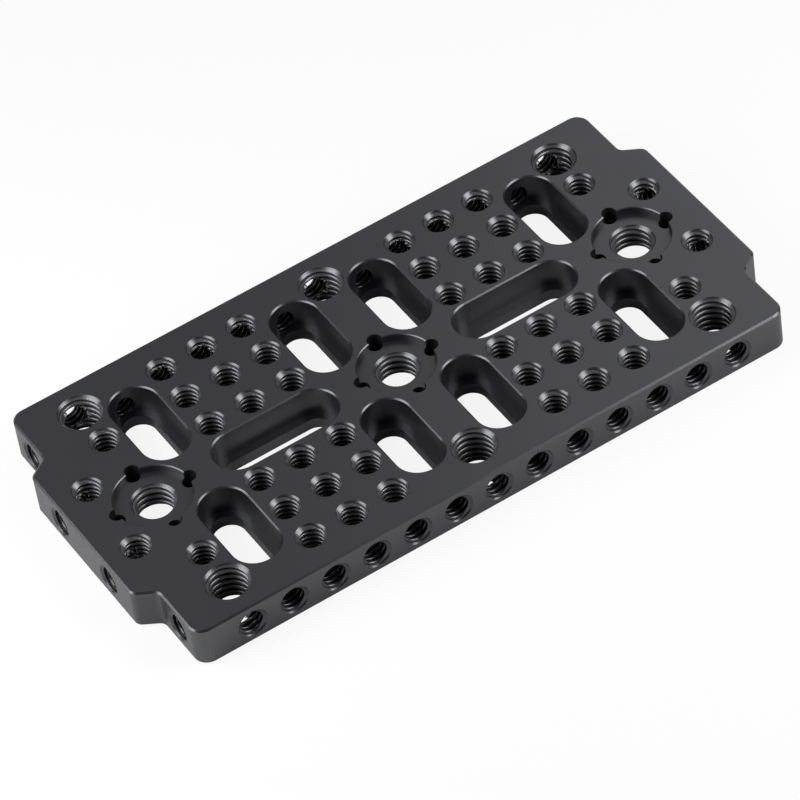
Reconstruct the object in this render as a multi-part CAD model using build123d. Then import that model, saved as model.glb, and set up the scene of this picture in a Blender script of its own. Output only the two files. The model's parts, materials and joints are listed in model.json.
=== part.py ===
from build123d import *
import math
import os

# Camera cheese plate: one milled aluminium plate, full of tapped holes and stepped slots.
# Millimetres. The plate lies flat on z = 0 with its length along X, centred on the origin.

# Plate
thickness = 10.0
half_width = 38.75
half_length = 77.5          # to the end of the tongue that stands out of each short end
corner_step = 4.7           # how far the corners stand back from the tongue's end
tongue_half_width = 20.6
step_run = 3.0              # the slanted step's height along the short end
corner_radius = 3.2
step_radius = 2.0
edge_chamfer = 0.4

# Hole grid
pitch = 10.0
quarter_radius = 3.175      # 1/4-20 thread, major radius
three_eighths_radius = 4.7625   # 3/8-16 thread, major radius
countersink = 0.3
edge_tap_depth = 8.5        # thread of the holes in the plate's edges
edge_drill_depth = 9.0      # to the shoulder of the drill's point
edge_drill_radius = 2.6
drill_point_angle = 118

# Stepped slots: wide above the ledge for a screw head, narrow below it for the shank
slot_width = 11.0
shank_width = 7.3
ledge_height = 3.0
short_travel = 12.4         # how far a screw can slide
long_travel = 18.6
short_slot_y = 18.2         # middle of a short slot
slot_chamfer = 0.3

# Locating recess round each of the three middle holes, on both faces
recess_radius = 8.5
recess_depth = 1.8
recess_chamfer = 0.2
pin_radius = 1.65
pin_circle_radius = 8.7

# Places on the grid, in steps of the pitch
block_columns = (2, 3, 4)
block_rows = range(1, 4)
end_holes = ((6, 2), (7, 1))
big_columns = (-6, 0, 6)
big_row = 3
short_slot_columns = (-5, -1, 1, 5)
long_slot_columns = (-3, 3)
side_columns = range(-6, 7)
tongue_row = 1
corner_row = 3

over = 1.0                  # how far a cutter stands out of the metal
same_place = 0.01           # corners of the outline nearer than this to a line lie on it


def four_ways(column, row):
    return [(sx * column * pitch, sy * row * pitch) for sx in (-1, 1) for sy in (-1, 1)]


def corners_at(face, y):
    return [corner for corner in face.vertices() if abs(abs(corner.Y) - y) < same_place]


def outline():
    corner = half_length - corner_step
    step_end = tongue_half_width + step_run
    quarter = [
        (half_length, tongue_half_width),
        (corner, step_end),
        (corner, half_width),
    ]
    points = quarter + [(-x, y) for x, y in reversed(quarter)]
    points = points + [(-x, -y) for x, y in points]
    face = make_face(Polyline(*points, close=True))
    face = fillet(corners_at(face, half_width), corner_radius)
    return fillet(corners_at(face, tongue_half_width) + corners_at(face, step_end), step_radius)


def slot_cutter(x, y, travel, angle):
    place = Pos(x, y) * Rot(0, 0, angle)
    wide = extrude(place * SlotCenterToCenter(travel, slot_width), thickness + over)
    shank = extrude(place * SlotCenterToCenter(travel, shank_width), thickness + over)
    return Pos(0, 0, ledge_height) * wide + Pos(0, 0, -over) * shank


def slots():
    cutters = []
    for column in short_slot_columns:
        for side in (-1, 1):
            cutters.append(slot_cutter(column * pitch, side * short_slot_y, short_travel, 90))
    for column in long_slot_columns:
        cutters.append(slot_cutter(column * pitch, 0, long_travel, 0))
    return cutters


def turned(points):
    return revolve(Plane.XZ * make_face(Polyline(*points, close=True)), Axis.Z)


def tapped_through(radius):
    mouth = radius + countersink + over
    return turned([
        (0, -over), (mouth, -over), (radius, countersink),
        (radius, thickness - countersink), (mouth, thickness + over), (0, thickness + over),
    ])


def tapped_blind(radius):
    mouth = radius + countersink + over
    point = edge_drill_radius / math.tan(math.radians(drill_point_angle / 2))
    return turned([
        (0, -edge_drill_depth - point), (edge_drill_radius, -edge_drill_depth),
        (edge_drill_radius, -edge_tap_depth), (radius, -edge_tap_depth),
        (radius, -countersink), (mouth, over), (0, over),
    ])


def located_hole():
    radius = three_eighths_radius
    top = thickness - recess_depth
    lip = recess_radius + recess_chamfer + over
    upper = [
        (radius, top - countersink), (radius + countersink, top), (recess_radius, top),
        (recess_radius, thickness - recess_chamfer), (lip, thickness + over), (0, thickness + over),
    ]
    lower = [(r, thickness - z) for r, z in reversed(upper)]
    return turned(lower + upper)


def grid_holes():
    small = tapped_through(quarter_radius)
    large = tapped_through(three_eighths_radius)
    places = []
    for column in block_columns:
        for row in block_rows:
            places += four_ways(column, row)
    for column, row in end_holes:
        places += four_ways(column, row)
    cutters = [Pos(x, y) * small for x, y in places]
    for column in big_columns:
        for side in (-1, 1):
            cutters.append(Pos(column * pitch, side * big_row * pitch) * large)
    return cutters


def located_holes():
    hole = located_hole()
    pin = Pos(0, 0, -over) * extrude(Circle(pin_radius), thickness + 2 * over)
    cutters = []
    for column in big_columns:
        centre = Pos(column * pitch, 0)
        cutters.append(centre * hole)
        cutters += [centre * place * pin for place in PolarLocations(pin_circle_radius, 4)]
    return cutters


def edge_holes():
    hole = tapped_blind(quarter_radius)
    middle = thickness / 2
    cutters = []
    for column in side_columns:
        cutters.append(Pos(column * pitch, half_width, middle) * Rot(-90, 0, 0) * hole)
        cutters.append(Pos(column * pitch, -half_width, middle) * Rot(90, 0, 0) * hole)
    for row, end in ((tongue_row, half_length), (corner_row, half_length - corner_step)):
        for side in (-1, 1):
            cutters.append(Pos(end, side * row * pitch, middle) * Rot(0, 90, 0) * hole)
            cutters.append(Pos(-end, side * row * pitch, middle) * Rot(0, -90, 0) * hole)
    return cutters


def plate():
    blank = extrude(outline(), thickness)
    blank = chamfer(blank.edges().filter_by(Plane.XY), edge_chamfer)
    slotted = blank - slots()
    faces = slotted.faces().sort_by(Axis.Z)
    rims = [edge for face in (faces[0], faces[-1]) for wire in face.inner_wires() for edge in wire.edges()]
    slotted = chamfer(rims, slot_chamfer)
    return slotted - (grid_holes() + located_holes() + edge_holes())


os.makedirs("parts", exist_ok=True)
export_step(plate(), "parts/plate.step")
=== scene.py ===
import json
import math

import bpy
import bmesh
from mathutils import Euler, Matrix, Vector

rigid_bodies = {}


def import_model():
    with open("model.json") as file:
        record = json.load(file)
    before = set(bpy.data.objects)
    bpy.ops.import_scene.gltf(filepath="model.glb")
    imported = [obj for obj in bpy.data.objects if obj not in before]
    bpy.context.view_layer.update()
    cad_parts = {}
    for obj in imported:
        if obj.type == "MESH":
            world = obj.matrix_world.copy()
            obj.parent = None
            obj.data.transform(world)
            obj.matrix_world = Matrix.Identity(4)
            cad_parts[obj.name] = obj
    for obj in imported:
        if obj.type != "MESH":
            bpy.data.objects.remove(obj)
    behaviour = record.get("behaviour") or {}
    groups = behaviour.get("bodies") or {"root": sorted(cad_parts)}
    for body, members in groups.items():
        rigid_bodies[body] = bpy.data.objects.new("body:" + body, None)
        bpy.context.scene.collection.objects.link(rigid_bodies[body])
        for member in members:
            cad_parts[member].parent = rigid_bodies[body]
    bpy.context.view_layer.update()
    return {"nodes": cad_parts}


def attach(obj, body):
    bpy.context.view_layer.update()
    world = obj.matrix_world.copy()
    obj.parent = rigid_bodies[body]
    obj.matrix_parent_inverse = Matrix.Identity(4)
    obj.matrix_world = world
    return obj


for leftover in list(bpy.data.objects):
    bpy.data.objects.remove(leftover)
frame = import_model()
mm = 0.001
print("cheese plate: frame loaded")


# Helpers for both kinds of node tree

def newTree(name, kind, inputs, outputs):
    tree = bpy.data.node_groups.new(name, kind)
    for label, socketType, value in inputs:
        socket = tree.interface.new_socket(label, in_out="INPUT", socket_type=socketType)
        if value is not None:
            socket.default_value = value
    for label, socketType in outputs:
        tree.interface.new_socket(label, in_out="OUTPUT", socket_type=socketType)
    return tree, tree.nodes.new("NodeGroupInput"), tree.nodes.new("NodeGroupOutput")


def setSocket(tree, socket, value):
    if isinstance(value, bpy.types.NodeSocket):
        tree.links.new(value, socket)
    else:
        socket.default_value = value


def addNode(tree, kind, inputs=None, **settings):
    node = tree.nodes.new(kind)
    for key, value in settings.items():
        setattr(node, key, value)
    for key, value in (inputs or {}).items():
        setSocket(tree, node.inputs[key], value)
    return node


def calc(tree, operation, *values):
    node = addNode(tree, "ShaderNodeMath", operation=operation)
    for socket, value in zip(node.inputs, values):
        setSocket(tree, socket, value)
    return node.outputs[0]


def upAxis(tree, distance):
    return addNode(tree, "ShaderNodeCombineXYZ", {"Z": distance}).outputs["Vector"]


def transformed(tree, geometry, change):
    return addNode(tree, "GeometryNodeTransform", {"Geometry": geometry, **change}).outputs["Geometry"]


# The plate as it is drilled, in millimetres; columns and rows are steps of the grid

plateSizes = {
    "thickness": 10.0,
    "halfWidth": 38.75,
    "halfLength": 77.5,      # to the tongue's end
    "cornerEnd": 72.8,       # to the ends of the corners
    "recessDepth": 1.8,
    "countersink": 0.3,
    "grid": 10.0,
    "blockColumns": (2, 3, 4),
    "blockRows": (1, 2, 3),
    "endHoles": ((6, 2), (7, 1)),
    "bigColumns": (-6, 0, 6),
    "bigRow": 3,
    "sideColumns": range(-6, 7),
    "tongueRow": 1,
    "cornerRow": 3,
}


# A place is a hole's mouth and the axis that points out of the metal

def uprightPlaces(steps, height):
    grid = plateSizes["grid"]
    return [((column * grid, row * grid, height), (0, 0, 1)) for column, row in steps]


def quarterSteps():
    steps = [(column, row) for column in plateSizes["blockColumns"] for row in plateSizes["blockRows"]]
    steps += plateSizes["endHoles"]
    return [(sx * column, sy * row) for column, row in steps for sx in (-1, 1) for sy in (-1, 1)]


def edgePlaces():
    grid = plateSizes["grid"]
    middle = plateSizes["thickness"] / 2
    places = []
    for column in plateSizes["sideColumns"]:
        for side in (-1, 1):
            places.append(((column * grid, side * plateSizes["halfWidth"], middle), (0, side, 0)))
    tongue = (plateSizes["tongueRow"], plateSizes["halfLength"])
    corner = (plateSizes["cornerRow"], plateSizes["cornerEnd"])
    for row, end in (tongue, corner):
        for sx in (-1, 1):
            for sy in (-1, 1):
                places.append(((sx * end, sy * row * grid, middle), (sx, 0, 0)))
    return places


# Black anodised skin: blasted grain, slow clouds, a slightly blue gloss

plateLook = {
    "colour": (0.0140, 0.0140, 0.0180, 1.0),
    "roughness": 0.32,
    "roughnessSpread": 0.10,
    "cloudScale": 45.0,
    "cloudDepth": 0.30,
    "grainScale": 2600.0,
    "grainStrength": 0.02,
    "grainHeight": 0.02,     # mm
    "ior": 1.9,
    "glossTint": (0.94, 0.95, 1.0, 1.0),
}


def finishGroup():
    tree, given, out = newTree(
        "anodisedFinish", "ShaderNodeTree",
        [("Colour", "NodeSocketColor", plateLook["colour"]),
         ("Roughness", "NodeSocketFloat", plateLook["roughness"]),
         ("Roughness Spread", "NodeSocketFloat", plateLook["roughnessSpread"]),
         ("Cloud Scale", "NodeSocketFloat", plateLook["cloudScale"]),
         ("Cloud Depth", "NodeSocketFloat", plateLook["cloudDepth"]),
         ("Grain Scale", "NodeSocketFloat", plateLook["grainScale"])],
        [("Colour", "NodeSocketColor"), ("Roughness", "NodeSocketFloat"), ("Grain", "NodeSocketFloat")])
    g = given.outputs
    place = addNode(tree, "ShaderNodeTexCoord").outputs["Object"]
    cloud = addNode(tree, "ShaderNodeTexNoise", {"Vector": place, "Scale": g["Cloud Scale"], "Detail": 3.0})
    grain = addNode(tree, "ShaderNodeTexNoise", {"Vector": place, "Scale": g["Grain Scale"], "Detail": 2.0})
    drift = calc(tree, "SUBTRACT", cloud.outputs["Fac"], 0.5)   # the noise swings about a half
    shade = calc(tree, "MULTIPLY_ADD", drift, g["Cloud Depth"], 1.0)
    rough = calc(tree, "MULTIPLY_ADD", drift, g["Roughness Spread"], g["Roughness"])
    clouded = addNode(tree, "ShaderNodeMix", data_type="RGBA", blend_type="MULTIPLY")
    clouded.inputs["Factor"].default_value = 1.0
    tree.links.new(g["Colour"], clouded.inputs["A"])
    tree.links.new(shade, clouded.inputs["B"])
    tree.links.new(clouded.outputs["Result"], out.inputs["Colour"])
    tree.links.new(rough, out.inputs["Roughness"])
    tree.links.new(grain.outputs["Fac"], out.inputs["Grain"])
    return tree


def anodisedMaterial(name, look, group):
    material = bpy.data.materials.new(name)
    material.use_nodes = True
    tree = material.node_tree
    shader = tree.nodes["Principled BSDF"]
    skin = addNode(tree, "ShaderNodeGroup", node_tree=group)
    skin.inputs["Colour"].default_value = look["colour"]
    skin.inputs["Roughness"].default_value = look["roughness"]
    skin.inputs["Roughness Spread"].default_value = look["roughnessSpread"]
    skin.inputs["Cloud Scale"].default_value = look["cloudScale"]
    skin.inputs["Cloud Depth"].default_value = look["cloudDepth"]
    skin.inputs["Grain Scale"].default_value = look["grainScale"]
    bump = addNode(tree, "ShaderNodeBump", {
        "Height": skin.outputs["Grain"],
        "Strength": look["grainStrength"], "Distance": look["grainHeight"] * mm})
    tree.links.new(skin.outputs["Colour"], shader.inputs["Base Color"])
    tree.links.new(skin.outputs["Roughness"], shader.inputs["Roughness"])
    tree.links.new(bump.outputs["Normal"], shader.inputs["Normal"])
    shader.inputs["IOR"].default_value = look["ior"]
    shader.inputs["Specular Tint"].default_value = look["glossTint"]
    return material


# the cut threads of the upright holes are painted a shade lighter than the plate, as painted light in their
# grooves; those in the edges are painted darker, as painted shade inside the side holes
litThreadLook = dict(plateLook, colour=(0.066, 0.066, 0.073, 1.0), roughness=0.28)
shadedEdgeThreadLook = dict(litThreadLook, colour=(0.018, 0.018, 0.021, 1.0), roughness=0.30, ior=1.8)

finish = finishGroup()
anodised = anodisedMaterial("anodisedPlate", plateLook, finish)
# the two thread materials are lit and shaded copies of the plate's finish: painted light in the upright
# holes, painted shade in the edge holes
litCutThread = anodisedMaterial("anodisedThreadPaintedLight", litThreadLook, finish)
shadedEdgeThread = anodisedMaterial("anodisedEdgeThreadPaintedShade", shadedEdgeThreadLook, finish)
print("cheese plate: materials made")


# Thread ridges: one helical ridge, run out at the hole's mouths and set in every hole

quarterThread = {"major": 3.175, "minor": 2.60, "pitch": 1.27, "turnSteps": 32}       # 1/4-20, radii in mm
bigThread = {"major": 4.7625, "minor": 4.05, "pitch": 1.5875, "turnSteps": 40}        # 3/8-16

ridgeShape = {
    "foot": 0.9,             # width at the bore, in pitches
    "crest": 0.22,           # width at the top, in pitches
    "sunk": 0.03,            # how deep the foot stands in the bore's wall, mm
    "coneSides": 48,         # the cutter that opens a mouth
    "coneWaist": 0.9,        # its narrow end, in minor radii
    "coneRise": 3.0,         # how far it stands out of the metal, mm
    "endSides": 32,          # the cutter at a blind hole's end
}


def helixRidge(tree, g, ridgeHeight):
    # a turn too many at each end, which the cutters take away
    length = calc(tree, "MULTIPLY_ADD", g["Pitch"], 2.0, g["Length"])
    helix = addNode(tree, "GeometryNodeCurveSpiral", {
        "Resolution": g["Turn Steps"], "Rotations": calc(tree, "DIVIDE", length, g["Pitch"]),
        "Start Radius": g["Major Radius"], "End Radius": g["Major Radius"], "Height": length})
    helix = addNode(tree, "GeometryNodeSetCurveNormal", {"Curve": helix.outputs["Curve"]}, mode="Z_UP")
    sunk = ridgeShape["sunk"] * mm
    profile = addNode(tree, "GeometryNodeCurvePrimitiveQuadrilateral", {
        "Bottom Width": calc(tree, "MULTIPLY", g["Pitch"], ridgeShape["foot"]),
        "Top Width": calc(tree, "MULTIPLY", g["Pitch"], ridgeShape["crest"]),
        "Offset": 0.0, "Height": calc(tree, "ADD", ridgeHeight, sunk)}, mode="TRAPEZOID")
    centre = calc(tree, "MULTIPLY_ADD", ridgeHeight, 0.5, -sunk / 2)
    inward = addNode(tree, "ShaderNodeCombineXYZ", {"Y": centre})
    profile = transformed(tree, profile.outputs["Curve"], {"Translation": inward.outputs["Vector"]})
    profile = transformed(tree, profile, {"Rotation": Euler((0, 0, -math.pi / 2))})
    sweep = addNode(tree, "GeometryNodeCurveToMesh", {
        "Curve": helix.outputs["Curve"], "Profile Curve": profile, "Fill Caps": True})
    # the spiral winds left-handed, so it is mirrored into a right-hand thread and its faces turned back out
    mirrored = transformed(tree, sweep.outputs["Mesh"], {"Scale": (1.0, -1.0, 1.0)})
    mirrored = addNode(tree, "GeometryNodeFlipFaces", {"Mesh": mirrored})
    drop = calc(tree, "MULTIPLY", calc(tree, "ADD", g["Length"], g["Pitch"]), -1.0)
    start = addNode(tree, "FunctionNodeEulerToRotation", {"Euler": upAxis(tree, g["Start Angle"])})
    return transformed(tree, mirrored.outputs["Mesh"], {
        "Translation": upAxis(tree, drop), "Rotation": start.outputs["Rotation"]})


def mouthCutters(tree, g, ridgeHeight):
    # the cone's slope sets how long the ridge takes to run out, and its top clears the ridge above
    rise = ridgeShape["coneRise"] * mm
    slope = calc(tree, "DIVIDE", g["Lead In"], ridgeHeight)
    rim = calc(tree, "ADD", g["Major Radius"], g["Countersink"])
    coneTop = calc(tree, "ADD", rim, calc(tree, "DIVIDE", rise, slope))
    coneLow = calc(tree, "MULTIPLY", g["Minor Radius"], ridgeShape["coneWaist"])
    coneDepth = calc(tree, "MULTIPLY", calc(tree, "SUBTRACT", coneTop, coneLow), slope)
    coneHigh = calc(tree, "MULTIPLY", calc(tree, "SUBTRACT", coneTop, g["Major Radius"]), slope)
    coneHigh = calc(tree, "SUBTRACT", coneHigh, g["Countersink"])
    cone = addNode(tree, "GeometryNodeMeshCone", {
        "Vertices": ridgeShape["coneSides"],
        "Radius Top": coneTop, "Radius Bottom": coneLow, "Depth": coneDepth})
    near = transformed(tree, cone.outputs["Mesh"], {
        "Translation": upAxis(tree, calc(tree, "SUBTRACT", coneHigh, coneDepth))})
    farLift = calc(tree, "SUBTRACT", calc(tree, "SUBTRACT", coneDepth, coneHigh), g["Length"])
    far = transformed(tree, cone.outputs["Mesh"], {
        "Translation": upAxis(tree, farLift), "Rotation": Euler((math.pi, 0, 0))})
    # a blind hole's end is cut square instead
    square = addNode(tree, "GeometryNodeMeshCylinder", {
        "Vertices": ridgeShape["endSides"], "Radius": coneTop, "Depth": 2 * rise})
    square = transformed(tree, square.outputs["Mesh"], {
        "Translation": upAxis(tree, calc(tree, "SUBTRACT", -rise, g["Length"]))})
    end = addNode(tree, "GeometryNodeSwitch", {"Switch": g["Through"], "False": square, "True": far},
                  input_type="GEOMETRY")
    return near, end.outputs["Output"]


def threadTree():
    tree, given, out = newTree(
        "threadRidges", "GeometryNodeTree",
        [("Holes", "NodeSocketGeometry", None),
         ("Major Radius", "NodeSocketFloat", quarterThread["major"] * mm),
         ("Minor Radius", "NodeSocketFloat", quarterThread["minor"] * mm),
         ("Pitch", "NodeSocketFloat", quarterThread["pitch"] * mm),
         ("Length", "NodeSocketFloat", plateSizes["thickness"] * mm),
         ("Countersink", "NodeSocketFloat", plateSizes["countersink"] * mm),
         ("Through", "NodeSocketBool", True),
         ("Lead In", "NodeSocketFloat", 0.6 * mm),
         ("Start Angle", "NodeSocketFloat", 0.0),
         ("Turn Steps", "NodeSocketInt", quarterThread["turnSteps"]),
         ("Material", "NodeSocketMaterial", None)],
        [("Threads", "NodeSocketGeometry")])
    g = given.outputs
    ridgeHeight = calc(tree, "SUBTRACT", g["Major Radius"], g["Minor Radius"])
    ridge = helixRidge(tree, g, ridgeHeight)
    for cutter in mouthCutters(tree, g, ridgeHeight):
        ridge = addNode(tree, "GeometryNodeMeshBoolean", {"Mesh 1": ridge, "Mesh 2": cutter},
                        operation="DIFFERENCE", solver="MANIFOLD").outputs["Mesh"]
    axis = addNode(tree, "GeometryNodeInputNamedAttribute", {"Name": "holeAxis"}, data_type="FLOAT_VECTOR")
    outward = axis.outputs["Attribute"]
    turn = addNode(tree, "FunctionNodeAlignRotationToVector", {"Vector": outward}, axis="Z")
    placed = addNode(tree, "GeometryNodeInstanceOnPoints", {
        "Points": g["Holes"], "Instance": ridge, "Rotation": turn.outputs["Rotation"]})
    real = addNode(tree, "GeometryNodeRealizeInstances", {"Geometry": placed.outputs["Instances"]})
    painted = addNode(tree, "GeometryNodeSetMaterial", {
        "Geometry": real.outputs["Geometry"], "Material": g["Material"]})
    tree.links.new(painted.outputs["Geometry"], out.inputs["Threads"])
    return tree


def newObject(name, data):
    obj = bpy.data.objects.new(name, data)
    bpy.context.scene.collection.objects.link(obj)
    return obj


def holePoints(name, places):
    mesh = bpy.data.meshes.new(name)
    mesh.from_pydata([tuple(v * mm for v in mouth) for mouth, axis in places], [], [])
    attribute = mesh.attributes.new("holeAxis", "FLOAT_VECTOR", "POINT")
    attribute.data.foreach_set("vector", [float(v) for mouth, axis in places for v in axis])
    return newObject(name, mesh)


def setInputs(modifier, values):
    for item in modifier.node_group.interface.items_tree:
        if item.item_type == "SOCKET" and item.in_out == "INPUT" and item.name in values:
            modifier[item.identifier] = values[item.name]


def baked(obj):
    depsgraph = bpy.context.evaluated_depsgraph_get()
    depsgraph.update()
    mesh = bpy.data.meshes.new_from_object(obj.evaluated_get(depsgraph))
    obj.modifiers.clear()
    obj.data = mesh
    return obj


def makeThreads(name, tree, places, piece, material):
    obj = holePoints(name, places)
    modifier = obj.modifiers.new("threads", "NODES")
    modifier.node_group = tree
    setInputs(modifier, {
        "Major Radius": piece["major"] * mm,
        "Minor Radius": piece["minor"] * mm,
        "Pitch": piece["pitch"] * mm,
        "Length": piece["length"] * mm,
        "Countersink": plateSizes["countersink"] * mm,
        "Through": piece["through"],
        "Lead In": piece["leadIn"] * (piece["major"] - piece["minor"]) * mm,
        "Start Angle": math.radians(piece["startAngle"]),
        "Turn Steps": piece["turnSteps"],
        "Material": material,
    })
    return baked(obj)


# One dictionary for each piece: thread length in mm, run-out at the mouth in ridge heights,
# and the angle in degrees at which the thread starts, as the turns stand in the photograph

ridges = threadTree()
top = plateSizes["thickness"]
recess = plateSizes["recessDepth"]

# the upright holes' threads take the lighter material, with painted light in their grooves
quarterPiece = dict(quarterThread, length=top, through=True, leadIn=1.0, startAngle=21.5)
quarterPlaces = uprightPlaces(quarterSteps(), top)
quarter = makeThreads("threadsQuarter", ridges, quarterPlaces, quarterPiece, litCutThread)

bigPiece = dict(bigThread, length=top, through=True, leadIn=1.0, startAngle=9.5)
bigRows = (-plateSizes["bigRow"], plateSizes["bigRow"])
bigPlaces = uprightPlaces([(column, row) for column in plateSizes["bigColumns"] for row in bigRows], top)
big = makeThreads("threadsThreeEighths", ridges, bigPlaces, bigPiece, litCutThread)

middlePiece = dict(bigThread, length=top - 2 * recess, through=True, leadIn=1.0, startAngle=73.6)
middlePlaces = uprightPlaces([(column, 0) for column in plateSizes["bigColumns"]], top - recess)
middle = makeThreads("threadsMiddle", ridges, middlePlaces, middlePiece, litCutThread)

edgePiece = dict(quarterThread, length=8.5, through=False, leadIn=0.45, startAngle=258.5)
# the edge threads take the darker material, with painted shade inside the side holes
edge = makeThreads("threadsEdge", ridges, edgePlaces(), edgePiece, shadedEdgeThread)


# Where two tapped holes cross, each keeps only the ridges that the other's thread leaves

bore = {
    "sides": 64,
    "over": 1.0,             # how far a bore's cutter stands out of the metal, mm
}


def cutAway(obj, tool):
    cut = obj.modifiers.new("cut", "BOOLEAN")
    cut.operation = "DIFFERENCE"
    cut.solver = "MANIFOLD"
    cut.object = tool
    baked(obj)


def openBores(name, places, piece, depth, threads):
    # what is open inside threaded bores: the plain bores less the ridges that stand in them
    bm = bmesh.new()
    radius = piece["major"] * mm
    for mouth, axis in places:
        axis = Vector(axis)
        turn = Vector((0, 0, 1)).rotation_difference(axis).to_matrix().to_4x4()
        centre = Matrix.Translation((Vector(mouth) + axis * (bore["over"] - depth) / 2) * mm)
        bmesh.ops.create_cone(bm, cap_ends=True, segments=bore["sides"], radius1=radius, radius2=radius,
                              depth=(depth + bore["over"]) * mm, matrix=centre @ turn)
    mesh = bpy.data.meshes.new(name)
    bm.to_mesh(mesh)
    bm.free()
    tool = newObject(name, mesh)
    cutAway(tool, threads)
    return tool


throughDepth = top + bore["over"]
openEdge = openBores("openEdge", edgePlaces(), edgePiece, edgePiece["length"], edge)
openQuarter = openBores("openQuarter", quarterPlaces, quarterPiece, throughDepth, quarter)
openBig = openBores("openBig", bigPlaces, bigPiece, throughDepth, big)
cutAway(quarter, openEdge)
cutAway(big, openEdge)
cutAway(edge, openQuarter)
cutAway(edge, openBig)
for tool in (openEdge, openQuarter, openBig):
    bpy.data.objects.remove(tool)
for obj in (quarter, big, middle, edge):
    obj.data.validate()   # drops the few empty faces that the cuts leave
    print("cheese plate:", obj.name, len(obj.data.polygons), "faces")
    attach(obj, "root")
print("cheese plate: threads cut")

plate = frame["nodes"]["plate"]
for slot in plate.material_slots:
    slot.material = anodised


# White table, and soft panels that face the plate

studio = {
    "floorSize": 6.0,
    "floorDrop": 0.1,        # mm under the plate
    "floorColour": (0.80, 0.80, 0.80, 1.0),
    "floorWhite": 0.88,      # how much of it the camera sees as even white; the rest keeps the shadow
    "worldStrength": 0.045,
}

# bearing and height in degrees as seen from the plate, distance and size in metres, brightness
panels = {
    "rightBox": (-37, 36, 0.42, (0.24, 0.29), 5.7),
    "leftBox": (166, 38, 0.29, (0.20, 0.24), 4.8),
    "backPanel": (64, 50, 0.90, (1.00, 0.75), 0.235),
    "backRightPanel": (44, 42, 0.60, (0.24, 0.32), 0.62),
}

white = (1.0, 1.0, 1.0, 1.0)


def softPanel(name, azimuth, elevation, distance, size, radiance):
    light = bpy.data.lights.new(name, "AREA")
    light.shape = "RECTANGLE"
    light.size, light.size_y = size
    light.energy = radiance * math.pi * size[0] * size[1]
    panel = newObject(name, light)
    azimuth, elevation = math.radians(azimuth), math.radians(elevation)
    flat = math.cos(elevation)
    toward = Vector((flat * math.cos(azimuth), flat * math.sin(azimuth), math.sin(elevation)))
    panel.location = toward * distance
    panel.rotation_euler = (-toward).to_track_quat("-Z", "Y").to_euler()


def floorMaterial():
    material = bpy.data.materials.new("studioFloor")
    material.use_nodes = True
    material.cycles.emission_sampling = "NONE"   # its glow is for the camera alone, so it is no lamp
    tree = material.node_tree
    tree.nodes.remove(tree.nodes["Principled BSDF"])
    direct = addNode(tree, "ShaderNodeLightPath").outputs["Is Camera Ray"]
    colour = addNode(tree, "ShaderNodeMix", data_type="RGBA")
    colour.inputs["A"].default_value = studio["floorColour"]
    colour.inputs["B"].default_value = white
    tree.links.new(direct, colour.inputs["Factor"])
    table = addNode(tree, "ShaderNodeBsdfDiffuse", {"Color": colour.outputs["Result"]})
    glow = addNode(tree, "ShaderNodeEmission", {"Color": white, "Strength": 1.0})
    seen = calc(tree, "MULTIPLY", direct, studio["floorWhite"])
    mixed = addNode(tree, "ShaderNodeMixShader", {
        0: seen, 1: table.outputs["BSDF"], 2: glow.outputs["Emission"]})
    tree.links.new(mixed.outputs["Shader"], tree.nodes["Material Output"].inputs["Surface"])
    return material


bm = bmesh.new()
bmesh.ops.create_grid(bm, x_segments=1, y_segments=1, size=studio["floorSize"] / 2,
                      matrix=Matrix.Translation((0, 0, -studio["floorDrop"] * mm)))
floorMesh = bpy.data.meshes.new("floor")
bm.to_mesh(floorMesh)
bm.free()
floorMesh.materials.append(floorMaterial())
floor = newObject("floor", floorMesh)

for name, panel in panels.items():
    softPanel(name, *panel)

world = bpy.data.worlds.new("studioWorld")
world.use_nodes = True
background = world.node_tree.nodes["Background"]
background.inputs["Color"].default_value = white
background.inputs["Strength"].default_value = studio["worldStrength"]
bpy.context.scene.world = world
bpy.context.scene.view_settings.view_transform = "Standard"
print("cheese plate: studio lit")


# Camera at the photograph's angle

view = {
    "location": (-0.33668, -0.69168, 0.79948),
    "turn": (43.4756, 6.4280, -32.6553),
    "lens": 236.45,
    "sensor": 36.0,
    "clip": (0.05, 20.0),
}
camera = bpy.data.cameras.new("camera")
camera.sensor_width = view["sensor"]
camera.lens = view["lens"]
camera.clip_start, camera.clip_end = view["clip"]
cameraObject = newObject("camera", camera)
cameraObject.location = view["location"]
cameraObject.rotation_euler = Euler([math.radians(angle) for angle in view["turn"]])
bpy.context.scene.camera = cameraObject
print("cheese plate: camera placed")
